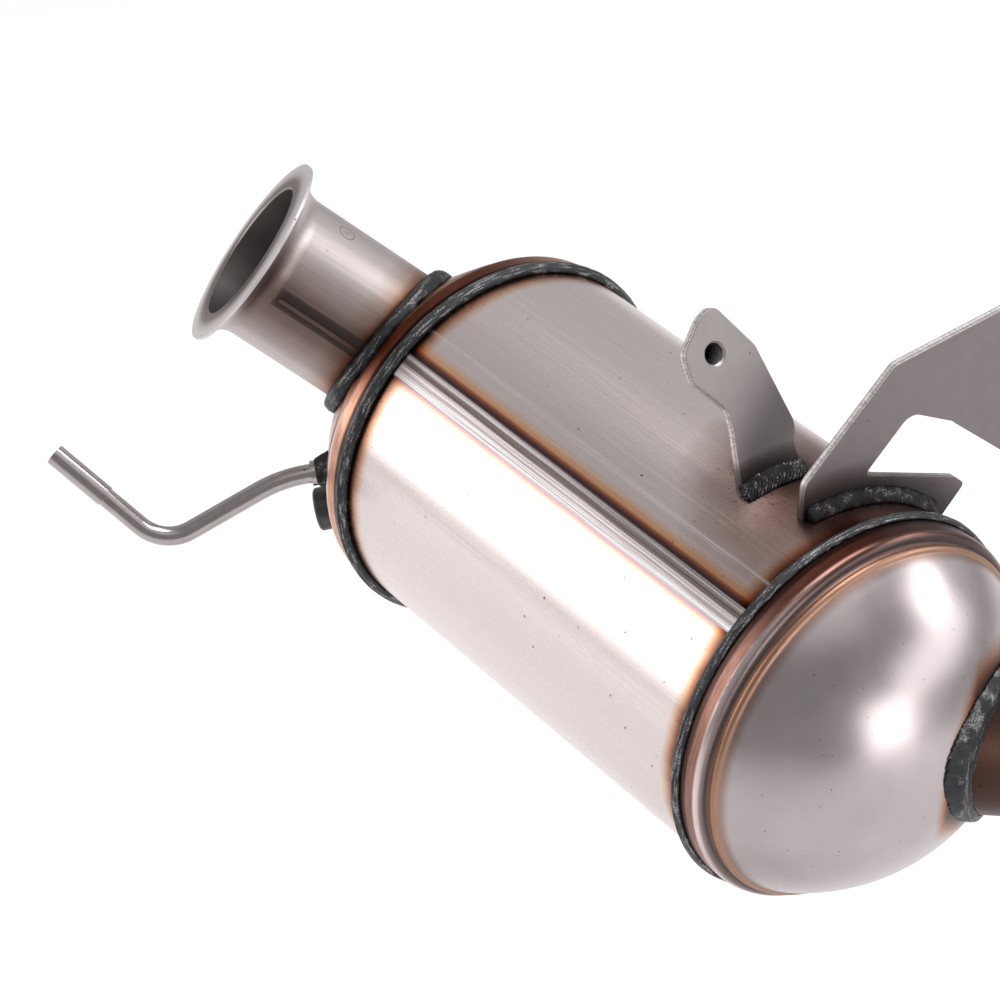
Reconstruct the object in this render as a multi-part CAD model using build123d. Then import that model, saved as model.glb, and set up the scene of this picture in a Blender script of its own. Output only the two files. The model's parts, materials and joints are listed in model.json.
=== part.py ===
"""Diesel particulate filter: a welded stainless canister with its inlet and outlet caps.

X runs along the canister's axis from inlet to outlet, Z is up and Y points away from the seam's side.
Everything is drawn round the middle of the canister's axis and moved at the end, so that the origin of
the finished part is the middle of the mounting bracket's two bolt holes, on its front face.
All sizes are in millimetres, and all angles round the canister are in degrees from +Y towards +Z.
"""
from build123d import *
import os
from math import asin, cos, degrees, radians, sin, sqrt

# Filter brick inside the canister
brick_diameter = 143.8
brick_length = 177.8
brick_segment = 35.9  # pitch of the square ceramic segments
brick_joint_width = 1.2
brick_joint_depth = 0.8
mat_ring_length = 6.0

# Canister: a rolled shell with one lengthwise seam
mat_thickness = 3.6  # between the brick and the shell
canister_wall = 1.5
canister_past_brick = 22.1  # from the brick's face to the end of the shell
seam_turn = 130.3
seam_gap = 2.4
seam_bead_width = 10.6
seam_bead_height = 0.5
fit_gap = 0.02  # between pieces that are slid together and welded

# Pressed caps: a skirt over the canister, a narrow step with a bead, and a dome
cap_wall = 1.7
cap_skirt_length = 12.0
inlet_cap_lap = 2.0  # length of the skirt that lies over the shell
outlet_cap_lap = 4.0
cap_shoulder_radius = 3.4
cap_step_width = 3.46  # from the skirt's outside in to the dome's foot
cap_bead_radius = 1.9
cap_bead_inset = 1.0  # how far the bead's centre lies under the dome's surface
cap_bead_place = 2.5  # from the step to the bead's centre
dome_rise = 48.0  # from the step to the top of the dome

# Circular welds at the skirts' edges
rim_weld_width = 8.2
rim_weld_lap = 3.6  # part of the width that lies on the canister
rim_weld_rise = 1.9  # above the skirt
rim_weld_crest = 0.4  # how far the crest stands back from the middle of the width

# Pipes of 2.5 inch tube, welded obliquely on the domes; tilts are from the canister's axis
pipe_od = 63.5
pipe_wall = 2.0
inlet_seat_tilt = 41.0
inlet_seat_turn = 126.6
inlet_pipe_tilt = 58.0
inlet_pipe_turn = 135.5
inlet_pipe_length = 62.8  # from the seat to the flange's face
outlet_seat_tilt = 34.3
outlet_seat_turn = -7.7
outlet_pipe_tilt = 64.9
outlet_pipe_turn = -14.7
outlet_pipe_length = 62.0
pipe_end_chamfer = 0.6
inlet_neck_weld = (4.4, 4.2, 3.2)  # width from the pipe, height above the dome, round of the outer edge
outlet_neck_weld = (2.8, 3.4, 2.2)

# Flared flange of the inlet pipe
flange_od = 83.4
flange_lip = 1.9
flange_lip_back = 1.6  # flat width behind the lip, outside the flare
flange_flare_height = 13.0
flange_slope_width = 9.4  # outer part of the face, which falls away by the edge round
flange_edge_round = 0.7

# Lengthwise seam of the inlet pipe, in a rolled groove
pipe_seam_facing = (0.82, -0.53, 0.20)
pipe_groove_width = 8.2
pipe_groove_depth = 1.0
pipe_groove_round = 0.9
pipe_seam_width = 1.8
pipe_seam_offset = -1.1  # across the groove, from its middle
pipe_seam_height = 0.7
pipe_seam_round = 0.45
pipe_seam_start = 10.0
pipe_seam_from_flare = 1.8

# Pressure tube, its bends given from the point where it meets the dome
tube_od = 8.0
tube_wall = 1.0
tube_from_foot = 10.95  # over the dome, from its foot to the tube's axis
tube_seat_turn = 179.0
tube_first_bend = (-10.0, -16.0, -2.8)
tube_second_bend = (-25.8, -63.7, -25.2)
tube_free_end = (-69.8, -86.6, 5.0)
tube_bend_radii = [60.0, 18.0]
tube_reach_inside = 3.0
sleeve_wall = 0.5
sleeve_length = 27.0
collar_wall = 1.2
collar_thickness = 2.0
tube_weld_width = 2.9  # of the cone's foot, outside the collar
tube_weld_height = 4.6
tube_weld_spare = 0.9  # extra cone at both ends, before it is trimmed

# Sensor boss, tapped M14 x 1.5
boss_od = 18.0
boss_height = 7.0
boss_thread_minor = 12.4
boss_chamfer = 0.8
boss_from_foot = 12.26  # over the dome, from its foot to the boss's axis
boss_seat_turn = 195.6
boss_weld = (1.4, 1.4, 0.8)

# Beads in front of the brackets' feet
foot_weld_bulge = (0.62, 0.66)  # a point of the rounded front, as shares of the bead's width and height

# Tab bracket, leaning back from the weld at its foot, with a hole tapped M10 x 1.5
tab_from_end = 50.0  # from the outlet end of the shell to the foot's front
tab_lean = 27.0
tab_thickness = 4.0
tab_outline = [(19.0, -7.0), (13.6, 6.4), (17.2, 15.4), (8.8, 49.0), (-4.6, 69.2), (-12.0, 66.0),
               (-22.6, 55.5), (-22.2, 45.0), (-10.2, 30.0), (-10.2, 22.0), (-14.8, -7.0)]
tab_radii = [0.5, 10.0, 10.0, 7.0, 4.5, 14.0, 6.0, 6.5, 8.0, 14.0, 0.5]
tab_edge_round = 0.5
tab_hole_minor = 8.5
tab_hole_across = -9.5
tab_hole_height = 51.6
tab_hole_chamfer = 0.6
tab_weld_width = 6.5
tab_weld_height = 3.4
tab_weld_start = 101.0
tab_weld_end = 79.0

# Mounting bracket with its C-shaped cut-out, outlined from the middle of its bolt holes
bracket_from_end = 22.5  # from the outlet end of the shell to the front face
bracket_thickness = 3.5
bracket_hole_diameter = 10.5
bracket_hole_spacing = 38.0
bracket_holes_beside = 24.0  # from the canister's side
bracket_holes_above = 23.0  # from the canister's top
bracket_outline = [(-109.4, -34.0), (-108.4, -8.0), (-67.8, 28.0), (13.0, 34.6), (13.0, -36.0),
                   (-6.5, -36.0), (-34.8, -10.8), (-36.8, -8.8), (-58.6, 3.6), (-79.6, -15.4),
                   (-32.8, -35.8), (-27.8, -40.6), (-43.0, -56.0)]
bracket_radii = [0.5, 6.0, 5.0, 10.0, 10.0, 8.0, 0.6, 0.6, 7.0, 1.6, 2.5, 2.0, 0.5]
bracket_edge_round = 0.4
bracket_weld_width = 4.4
bracket_weld_height = 5.2
bracket_weld_start = 94.5
bracket_weld_end = 43.5

# Sizes that follow from the ones above
brick_radius = brick_diameter / 2
canister_bore = brick_radius + mat_thickness
canister_radius = canister_bore + canister_wall
canister_length = brick_length + 2 * canister_past_brick
skirt_bore = canister_radius + fit_gap
skirt_radius = skirt_bore + cap_wall
inlet_step = canister_length / 2 + cap_skirt_length - inlet_cap_lap  # from the canister's middle
outlet_step = canister_length / 2 + cap_skirt_length - outlet_cap_lap
dome_foot = skirt_radius - cap_step_width
dome_radius = (dome_foot ** 2 + dome_rise ** 2) / (2 * dome_rise)
dome_foot_tilt = degrees(asin(dome_foot / dome_radius))
tube_seat_tilt = dome_foot_tilt - degrees(tube_from_foot / dome_radius)
boss_seat_tilt = dome_foot_tilt - degrees(boss_from_foot / dome_radius)
pipe_radius = pipe_od / 2
pipe_bore = pipe_radius - pipe_wall
sleeve_radius = tube_od / 2 + sleeve_wall
collar_radius = tube_od / 2 + collar_wall
tab_place = canister_length / 2 - tab_from_end
bracket_place = canister_length / 2 - bracket_from_end


def heading(side, tilt, turn):
    """Unit vector tilted from the canister's axis; side is -1 at the inlet and 1 at the outlet."""
    across = sin(radians(tilt))
    return Vector(side * cos(radians(tilt)), across * cos(radians(turn)), across * sin(radians(turn)))


def dome_centre(side, step):
    return Vector(side * (step + dome_rise - dome_radius), 0, 0)


def seat_plane(side, step, seat_tilt, seat_turn, tilt, turn, facing=None):
    """Plane on the dome's surface whose normal is the pipe's direction."""
    seat = dome_centre(side, step) + heading(side, seat_tilt, seat_turn) * dome_radius
    normal = heading(side, tilt, turn)
    if facing is None:
        return Plane(origin=seat, z_dir=normal)
    facing = Vector(*facing)
    return Plane(origin=seat, x_dir=facing - normal * facing.dot(normal), z_dir=normal)


def turned(face):
    """Solid of revolution round the canister's axis of a face drawn as X and radius."""
    return revolve(face, axis=Axis.X, revolution_arc=360)


def tube(outer, inner, start, end):
    """Straight tube along X."""
    ring = Plane.YZ.offset(start) * (Circle(outer) - Circle(inner))
    return extrude(ring, amount=end - start)


def cylinder_along(plane, radius, start, end):
    """Solid cylinder along the plane's normal."""
    return extrude(plane.offset(start) * Circle(radius), amount=end - start)


def half_disc(centre, radius):
    """Upper half of a disc on the axis, as X and radius."""
    return Pos(centre, 0) * Circle(radius) & Pos(centre, radius) * Rectangle(4 * radius, 2 * radius)


def box_from(x0, x1, top):
    """Rectangle from the axis up to a radius."""
    return Pos((x0 + x1) / 2, top / 2) * Rectangle(abs(x1 - x0), top)


def cap_outline(step):
    """Half section of the cap's outside: skirt, rounded shoulder, bead and dome."""
    centre = dome_centre(1, step).X
    skirt = box_from(step - cap_skirt_length, step, skirt_radius)
    corner = skirt.vertices().sort_by(Axis.X)[-2:].sort_by(Axis.Y)[-1]
    skirt = fillet(corner, cap_shoulder_radius)
    bead_x = step + cap_bead_place
    bead_y = sqrt(dome_radius ** 2 - (bead_x - centre) ** 2) - cap_bead_inset
    dome = half_disc(centre, dome_radius) & box_from(step - cap_wall, centre + dome_radius, dome_radius)
    return skirt + dome + Pos(bead_x, bead_y) * Circle(cap_bead_radius)


def cap_hollow(step):
    """Half section of the cap's inside."""
    centre = dome_centre(1, step).X
    inner_radius = dome_radius - cap_wall
    skirt = box_from(step - cap_skirt_length, step - cap_wall, skirt_bore)
    dome = half_disc(centre, inner_radius) & box_from(step - 2 * cap_wall, centre + inner_radius, dome_radius)
    return skirt + dome


def facing_end(side, solid):
    """Solid drawn for the outlet end, mirrored if it belongs to the inlet end."""
    return solid if side > 0 else mirror(solid, about=Plane.YZ)


def filled_end(side, step):
    """Cap and half the canister as one filled body, used to trim what sits on them."""
    canister = box_from(0, step - cap_wall, canister_radius)
    return facing_end(side, turned(cap_outline(step) + canister))


def make_cap(side, step, holes):
    cap = facing_end(side, turned(cap_outline(step)) - turned(cap_hollow(step)))
    for hole in holes:
        cap -= hole
    return cap


def rim_weld_start(step):
    """Where the rim weld's toe lies on the canister, from its middle."""
    return step - cap_skirt_length - rim_weld_lap


def rim_weld(side, step):
    """Weld bead between the canister and the skirt's edge."""
    edge = step - cap_skirt_length
    start = rim_weld_start(step)
    end = start + rim_weld_width
    crest = (start + end) / 2 - rim_weld_crest
    top = ThreePointArc((start, canister_radius), (crest, skirt_radius + rim_weld_rise), (end, skirt_radius))
    rest = Polyline((end, skirt_radius), (edge, skirt_radius), (edge, canister_radius), (start, canister_radius))
    return facing_end(side, turned(make_face([top, rest])))


def neck_weld(side, step, plane, radius, bead):
    """Bead round a pipe on the dome: a ring between the pipe and the dome with a rounded outer edge."""
    width, height, edge_round = bead
    reach = 2 * radius
    ring = cylinder_along(plane, radius + width, -reach, reach)
    ring &= Pos(dome_centre(side, step)) * Sphere(dome_radius + height)
    rims = ring.edges().filter_by(lambda e: (e.position_at(0.5) - plane.origin).dot(plane.z_dir) > -radius)
    ring = fillet(rims, edge_round)
    return ring - cylinder_along(plane, radius, -reach, reach) - filled_end(side, step)


def make_canister_shell():
    shell = tube(canister_radius, canister_bore, -canister_length / 2, canister_length / 2)
    slot = Pos(0, canister_radius, 0) * Box(2 * canister_length, 4 * canister_wall, seam_gap)
    return shell - Rot(seam_turn, 0, 0) * slot


def make_canister_seam():
    """Seam weld: its root fills the gap in the shell and its crown, between the rim welds, stands proud."""
    root = tube(canister_radius, canister_bore, -canister_length / 2, canister_length / 2)
    root &= Pos(0, canister_radius, 0) * Box(canister_length, 4 * canister_wall, seam_gap)
    crown_start = fit_gap - rim_weld_start(inlet_step)
    crown_end = rim_weld_start(outlet_step) - fit_gap
    crown = tube(canister_radius + seam_bead_height, canister_radius, crown_start, crown_end)
    crown &= Pos(0, canister_radius, 0) * Box(canister_length, 4 * canister_wall, seam_bead_width)
    return Rot(seam_turn, 0, 0) * (root + crown)


def make_inlet_pipe(plane):
    """Flared pipe, trimmed to the dome at its foot, with a rolled groove for its seam."""
    end = inlet_pipe_length
    flange = flange_od / 2
    neck = (pipe_radius, end - flange_flare_height)
    lip = (flange - flange_lip_back, end - flange_lip)
    section = make_face([
        Polyline((pipe_bore, -pipe_od), (pipe_radius, -pipe_od), neck),
        TangentArc(neck, lip, tangent=(0, 1)),
        Polyline(lip, (flange, end - flange_lip), (flange, end - flange_edge_round),
                 (flange - flange_slope_width, end), (pipe_bore + flange_edge_round, end),
                 (pipe_bore, end - flange_edge_round), (pipe_bore, -pipe_od)),
    ])
    pipe = revolve(Plane.XZ * section, axis=Axis.Z, revolution_arc=360)
    groove_end = end - flange_flare_height
    groove = Pos(pipe_radius, 0, (groove_end - pipe_od) / 2) * Box(
        2 * pipe_groove_depth, pipe_groove_width, groove_end + pipe_od)
    pipe -= fillet(groove.edges().filter_by(Axis.Z).sort_by(Axis.X)[:2], pipe_groove_round)
    return plane * pipe - filled_end(-1, inlet_step)


def make_inlet_pipe_seam(plane):
    """Seam bead that lies at the bottom of the pipe's groove."""
    bottom = pipe_radius - pipe_groove_depth
    seam_end = inlet_pipe_length - flange_flare_height - pipe_seam_from_flare
    bead = Pos(bottom, pipe_seam_offset, (pipe_seam_start + seam_end) / 2) * Box(
        2 * pipe_seam_height, pipe_seam_width, seam_end - pipe_seam_start)
    bead = fillet(bead.edges().filter_by(Axis.Z).sort_by(Axis.X)[-2:], pipe_seam_round)
    return plane * (bead & Pos(bottom + pipe_wall, 0, 0) * Box(2 * pipe_wall, pipe_od, 4 * pipe_od))


def make_outlet_pipe(plane):
    pipe = cylinder_along(plane, pipe_radius, -pipe_od, outlet_pipe_length)
    rim = pipe.edges().sort_by(lambda e: (e.center() - plane.origin).dot(plane.z_dir))[-1]
    pipe = chamfer(rim, pipe_end_chamfer)
    pipe -= cylinder_along(plane, pipe_bore, -2 * pipe_od, 2 * outlet_pipe_length)
    return pipe - filled_end(1, outlet_step)


def tube_seat():
    """Plane where the pressure tube meets the dome, facing along its first stretch."""
    seat = dome_centre(-1, inlet_step) + heading(-1, tube_seat_tilt, tube_seat_turn) * dome_radius
    return Plane(origin=seat, z_dir=Vector(*tube_first_bend))


def tube_points():
    """Centre line of the pressure tube, from inside the cap to the free end."""
    seat = tube_seat()
    inside = seat.origin - seat.z_dir * (cap_wall + tube_reach_inside)
    return [inside] + [seat.origin + Vector(*bend) for bend in (tube_first_bend, tube_second_bend, tube_free_end)]


def make_pressure_tube():
    points = tube_points()
    ring = Circle(tube_od / 2) - Circle(tube_od / 2 - tube_wall)
    section = Plane(origin=points[0], z_dir=tube_seat().z_dir) * ring
    return sweep(section, path=FilletPolyline(*points, radius=tube_bend_radii))


def make_tube_sleeve():
    """Hose end: a thin sleeve over the last stretch of the tube."""
    before_end, free_end = tube_points()[-2:]
    ring = Circle(sleeve_radius) - Circle(tube_od / 2)
    return extrude(Plane(origin=free_end, z_dir=before_end - free_end) * ring, amount=sleeve_length)


def make_tube_collar():
    ring = Circle(collar_radius) - Circle(tube_od / 2)
    return extrude(tube_seat().offset(tube_weld_height) * ring, amount=collar_thickness)


def make_tube_weld():
    """Weld cone that stands square on the dome and ends at the tilted collar."""
    seat = tube_seat()
    square = Plane(origin=seat.origin, z_dir=heading(-1, tube_seat_tilt, tube_seat_turn))
    spare_width = tube_weld_spare * tube_weld_width / tube_weld_height
    cone = square.offset(-tube_weld_spare) * Cone(
        collar_radius + tube_weld_width + spare_width, collar_radius - spare_width,
        tube_weld_height + 2 * tube_weld_spare, align=(Align.CENTER, Align.CENTER, Align.MIN))
    collar_seat = seat.offset(tube_weld_height)
    above = cylinder_along(collar_seat, 4 * collar_radius, 0, 4 * tube_weld_height)
    hole = cylinder_along(collar_seat, tube_od / 2, -4 * tube_weld_height, tube_weld_height)
    return cone - above - hole - filled_end(-1, inlet_step)


def boss_plane():
    return seat_plane(-1, inlet_step, boss_seat_tilt, boss_seat_turn, boss_seat_tilt, boss_seat_turn)


def make_sensor_boss():
    plane = boss_plane()
    boss = cylinder_along(plane, boss_od / 2, -boss_height, boss_height)
    rim = boss.edges().sort_by(lambda e: (e.center() - plane.origin).dot(plane.z_dir))[-1]
    boss = chamfer(rim, boss_chamfer)
    boss -= cylinder_along(plane, boss_thread_minor / 2, -2 * boss_height, 2 * boss_height)
    return boss - filled_end(-1, inlet_step)


def make_boss_weld():
    return neck_weld(-1, inlet_step, boss_plane(), boss_od / 2, boss_weld)


def plate(outline, radii, thickness, edge_round):
    """Flat plate with rounded corners, drawn in X and Y and extruded down from Z = 0."""
    face = make_face(FilletPolyline(*outline, radius=radii, close=True))
    body = extrude(face, amount=-thickness)
    rims = body.faces().sort_by(Axis.Z)
    return fillet(rims[-1].edges() + rims[0].edges(), edge_round)


def chamfered_hole(radius, depth, edge):
    """Cutter for a hole through a plate that lies under Z = 0, widened at both mouths."""
    section = make_face(Polyline((0, 0), (radius + edge, 0), (radius, -edge), (radius, edge - depth),
                                 (radius + edge, -depth), (0, -depth), (0, 0)))
    return revolve(Plane.XZ * section, axis=Axis.Z, revolution_arc=360)


def solid_canister():
    return extrude(Plane.YZ.offset(-canister_length / 2) * Circle(canister_radius), amount=canister_length)


def tab_plane():
    """Front face of the tab: X across it, Y up along it from the top of the canister."""
    lean = radians(tab_lean)
    return Plane(origin=(tab_place, 0, canister_radius), x_dir=(0, 1, 0), z_dir=(cos(lean), 0, sin(lean)))


def make_tab_bracket():
    body = plate(tab_outline, tab_radii, tab_thickness, tab_edge_round)
    hole = chamfered_hole(tab_hole_minor / 2, tab_thickness, tab_hole_chamfer)
    body -= Pos(tab_hole_across, tab_hole_height, 0) * hole
    return tab_plane() * body - solid_canister()


def foot_weld(plane, place, width, height, start, end):
    """Bead on the canister in front of a plate's face, between two angles."""
    outer = canister_radius + height
    across, up = foot_weld_bulge
    back = place - 2 * width
    top = ThreePointArc((place, outer), (place + across * width, canister_radius + up * height),
                        (place + width, canister_radius))
    rest = Polyline((place + width, canister_radius), (back, canister_radius), (back, outer), (place, outer))
    bead = revolve(make_face([top, rest]), axis=Axis.X, revolution_arc=start - end)
    size = 8 * canister_radius
    behind = plane * Pos(0, 0, -size / 2) * Box(size, size, size)
    return Rot(end, 0, 0) * bead - behind


def make_tab_weld():
    return foot_weld(tab_plane(), tab_place, tab_weld_width, tab_weld_height, tab_weld_start, tab_weld_end)


def bracket_plane():
    """Front face of the mounting bracket, from the middle of its bolt holes: X across it, Y up."""
    middle = (bracket_place, canister_radius + bracket_holes_beside, canister_radius + bracket_holes_above)
    return Plane(origin=middle, x_dir=(0, 1, 0), z_dir=(1, 0, 0))


def make_bracket():
    body = plate(bracket_outline, bracket_radii, bracket_thickness, bracket_edge_round)
    for height in (-bracket_hole_spacing / 2, bracket_hole_spacing / 2):
        body -= Pos(0, height, 0) * Cylinder(bracket_hole_diameter / 2, 4 * bracket_thickness)
    return bracket_plane() * body - solid_canister()


def make_bracket_weld():
    return foot_weld(bracket_plane(), bracket_place, bracket_weld_width, bracket_weld_height,
                     bracket_weld_start, bracket_weld_end)


def make_brick():
    """Ceramic brick of square segments, with a shallow joint between them on both faces."""
    brick = extrude(Plane.YZ.offset(-brick_length / 2) * Circle(brick_radius), amount=brick_length)
    count = int(brick_radius / brick_segment)
    for end in (-brick_length / 2, brick_length / 2):
        for index in range(-count, count + 1):
            place = index * brick_segment
            brick -= Pos(end, place, 0) * Box(2 * brick_joint_depth, brick_joint_width, 2 * brick_radius)
            brick -= Pos(end, 0, place) * Box(2 * brick_joint_depth, 2 * brick_radius, brick_joint_width)
    return brick


def make_mat():
    half = brick_length / 2 - mat_ring_length
    return tube(canister_bore, brick_radius, -half, half)


def make_mat_ring(side):
    ring = tube(canister_bore, brick_radius, brick_length / 2 - mat_ring_length, brick_length / 2)
    return facing_end(side, ring)


def make_parts():
    inlet_seat = seat_plane(-1, inlet_step, inlet_seat_tilt, inlet_seat_turn, inlet_pipe_tilt,
                            inlet_pipe_turn, pipe_seam_facing)
    outlet_seat = seat_plane(1, outlet_step, outlet_seat_tilt, outlet_seat_turn, outlet_pipe_tilt,
                             outlet_pipe_turn)
    inlet_holes = [
        cylinder_along(inlet_seat, pipe_bore, -pipe_radius, pipe_radius),
        cylinder_along(boss_plane(), boss_thread_minor / 2, -boss_height, boss_height),
        cylinder_along(tube_seat(), tube_od / 2 + fit_gap, -2 * tube_od, 2 * tube_od),
    ]
    outlet_holes = [cylinder_along(outlet_seat, pipe_bore, -pipe_radius, pipe_radius)]
    return {
        "canister_shell": make_canister_shell(),
        "canister_seam_weld": make_canister_seam(),
        "inlet_cap": make_cap(-1, inlet_step, inlet_holes),
        "inlet_rim_weld": rim_weld(-1, inlet_step),
        "inlet_pipe": make_inlet_pipe(inlet_seat),
        "inlet_pipe_seam_weld": make_inlet_pipe_seam(inlet_seat),
        "inlet_pipe_weld": neck_weld(-1, inlet_step, inlet_seat, pipe_radius, inlet_neck_weld),
        "outlet_dome": make_cap(1, outlet_step, outlet_holes),
        "outlet_rim_weld": rim_weld(1, outlet_step),
        "outlet_pipe": make_outlet_pipe(outlet_seat),
        "outlet_pipe_weld": neck_weld(1, outlet_step, outlet_seat, pipe_radius, outlet_neck_weld),
        "pressure_tube": make_pressure_tube(),
        "pressure_tube_sleeve": make_tube_sleeve(),
        "pressure_tube_collar": make_tube_collar(),
        "pressure_tube_weld": make_tube_weld(),
        "sensor_boss": make_sensor_boss(),
        "sensor_boss_weld": make_boss_weld(),
        "tab_bracket": make_tab_bracket(),
        "tab_bracket_weld": make_tab_weld(),
        "mounting_bracket": make_bracket(),
        "mounting_bracket_weld": make_bracket_weld(),
        "filter_monolith": make_brick(),
        "mounting_mat": make_mat(),
        "inlet_mat_ring": make_mat_ring(-1),
        "outlet_mat_ring": make_mat_ring(1),
    }


os.makedirs("parts", exist_ok=True)
to_origin = Pos(-bracket_plane().origin)
for name, solid in make_parts().items():
    export_step(to_origin * solid, f"parts/{name}.step")
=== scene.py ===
"""Diesel particulate filter: the finishes, weld beads and studio round the fixed CAD frame.

Places in the finishes are millimetres from the middle of the canister's axis: X along the axis from the
inlet to the outlet, Z up, and angles round the canister in degrees from +Y towards +Z.
"""
import json
import random
from math import atan2, cos, pi, radians, sin

import bmesh
import bpy
from mathutils import Matrix, Vector, noise


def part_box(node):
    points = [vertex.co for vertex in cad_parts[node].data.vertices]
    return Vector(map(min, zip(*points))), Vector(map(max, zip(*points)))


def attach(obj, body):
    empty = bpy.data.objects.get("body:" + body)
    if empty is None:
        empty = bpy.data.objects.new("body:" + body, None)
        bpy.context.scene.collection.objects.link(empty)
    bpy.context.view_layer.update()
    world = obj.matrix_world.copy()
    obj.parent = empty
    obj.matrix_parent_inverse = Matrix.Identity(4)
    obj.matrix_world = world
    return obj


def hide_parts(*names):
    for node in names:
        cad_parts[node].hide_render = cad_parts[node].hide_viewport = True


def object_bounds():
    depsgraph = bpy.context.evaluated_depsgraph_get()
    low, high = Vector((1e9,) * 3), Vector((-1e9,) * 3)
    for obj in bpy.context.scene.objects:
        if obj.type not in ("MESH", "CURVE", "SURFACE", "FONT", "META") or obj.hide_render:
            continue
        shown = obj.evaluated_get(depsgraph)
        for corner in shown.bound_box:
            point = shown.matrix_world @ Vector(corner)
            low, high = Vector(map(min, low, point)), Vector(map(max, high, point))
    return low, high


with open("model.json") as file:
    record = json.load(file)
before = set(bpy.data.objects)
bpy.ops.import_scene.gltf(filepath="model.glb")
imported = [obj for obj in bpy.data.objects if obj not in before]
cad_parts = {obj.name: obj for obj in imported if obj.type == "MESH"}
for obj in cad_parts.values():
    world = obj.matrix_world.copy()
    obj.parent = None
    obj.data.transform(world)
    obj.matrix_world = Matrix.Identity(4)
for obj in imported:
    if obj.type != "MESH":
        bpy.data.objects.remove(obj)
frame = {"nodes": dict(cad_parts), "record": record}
cad_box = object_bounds()
nodes = frame["nodes"]
mounts = {mount["name"]: mount for mount in frame["record"]["mounts"]}
random.seed(7)

MM = 0.001
shell_low, shell_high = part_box("canister_shell")
canister_middle = (shell_low + shell_high) / 2
canister_radius = (shell_high.z - shell_low.z) / 2 / MM
canister_line = (Vector((0, 0, 0)), Vector((1, 0, 0)))


def in_millimetres(place):
    """A place of the row frame, from the canister's middle, in millimetres."""
    return (Vector(place) - canister_middle) / MM


def in_metres(place):
    """A place in millimetres from the canister's middle, in the row frame."""
    return Vector(place) * MM + canister_middle


def ends_of(node):
    """Where a node starts and ends along the canister."""
    low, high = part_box(node)
    return in_millimetres(low).x, in_millimetres(high).x


def line_of(mount):
    """A point on a mount's axis, and the axis's way."""
    return in_millimetres(mounts[mount]["pos_m"]), Vector(mounts[mount]["axis"])


# Places that the finishes follow: a line is a point on it and its way
inlet_weld_outer, inlet_weld_toe = ends_of("inlet_rim_weld")
outlet_weld_toe, outlet_weld_outer = ends_of("outlet_rim_weld")
inlet_cap_top, inlet_cap_edge = ends_of("inlet_cap")
outlet_cap_edge, outlet_cap_top = ends_of("outlet_dome")
dome_radius = 83.0
inlet_dome_middle = Vector((inlet_cap_top + dome_radius, 0, 0))
outlet_dome_middle = Vector((outlet_cap_top - dome_radius, 0, 0))
seam_turn = 130.3
seam_half_width = 5.3
rolled_band_turn = 117.4
pipe_radius = 31.75
inlet_pipe_line = line_of("inlet_bore")
inlet_pipe_length = mounts["inlet_bore"]["dims"]["length_mm"]
inlet_groove = in_millimetres(sum(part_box("inlet_pipe_seam_weld"), Vector()) / 2)
outlet_pipe_line = line_of("outlet_bore")
outlet_pipe_length = mounts["outlet_bore"]["dims"]["length_mm"]
stamp_place = Vector((-155.7, -40.3, 91.0))  # middle of the small round stamp on the inlet pipe
tab_front = ends_of("tab_bracket_weld")[0]
tab_thickness = 4.0
bracket_back, bracket_front = ends_of("mounting_bracket")
bracket_line = (Vector(((bracket_back + bracket_front) / 2, 0, 0)), canister_line[1])
thread_pitch = 1.5

# The photograph's camera
camera_place = Vector((0.7935, -0.8336, 0.7514))
camera_right = Vector((0.59517, 0.80360, 0.0))
camera_up = Vector((-0.46779, 0.34646, 0.81310))
camera_back = Vector((0.65341, -0.48394, 0.58212))
camera_lens = 130.7

# Studio: each soft box by its azimuth and elevation in degrees and its distance from the canister's middle,
# its width and height in metres, and how bright the metal mirrors it
soft_boxes = [
    ("front_left_box", -127, 18.2, 2.2, 1.7, 1.6, 2.4),
    ("left_panel", 166, 24, 2.4, 4.8, 2.6, 0.20),
    ("back_panel", 102, 20, 2.4, 1.7, 1.5, 0.42),
    ("right_panel", 42, 20, 2.4, 2.5, 0.85, 2.0),
    ("right_strip", 65, 33, 2.4, 1.1, 0.6, 5.0),
    ("right_low_box", 3, 5, 2.4, 1.0, 0.95, 3.8),
    ("back_overhead_panel", 112, 75, 2.4, 1.45, 1.45, 5.6),
    ("front_overhead_panel", -26, 66, 2.4, 1.8, 1.2, 0.50),
]
studio_air = (1.0, 0.97, 0.975, 1)
studio_air_strength = 0.36
floor_half_width = 6.0
floor_gap = 0.30


def make_camera():
    """The photograph's camera, on a 36 mm sensor."""
    data = bpy.data.cameras.new("photograph_camera")
    data.lens = camera_lens
    data.sensor_width = 36.0
    data.clip_end = 20.0
    camera = bpy.data.objects.new("photograph_camera", data)
    turn = Matrix((camera_right, camera_up, camera_back)).transposed()
    camera.matrix_world = Matrix.Translation(camera_place) @ turn.to_4x4()
    bpy.context.scene.collection.objects.link(camera)
    bpy.context.scene.camera = camera


def make_soft_box(name, azimuth, elevation, distance, width, height, brightness):
    """Soft box that faces the canister."""
    data = bpy.data.lights.new(name, "AREA")
    data.shape = "RECTANGLE"
    data.size = width
    data.size_y = height
    data.energy = brightness * pi * width * height
    box = bpy.data.objects.new(name, data)
    level = cos(radians(elevation))
    way = Vector((level * cos(radians(azimuth)), level * sin(radians(azimuth)), sin(radians(elevation))))
    box.location = canister_middle + way * distance
    box.rotation_euler = way.to_track_quat("Z", "Y").to_euler()
    bpy.context.scene.collection.objects.link(box)


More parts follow.
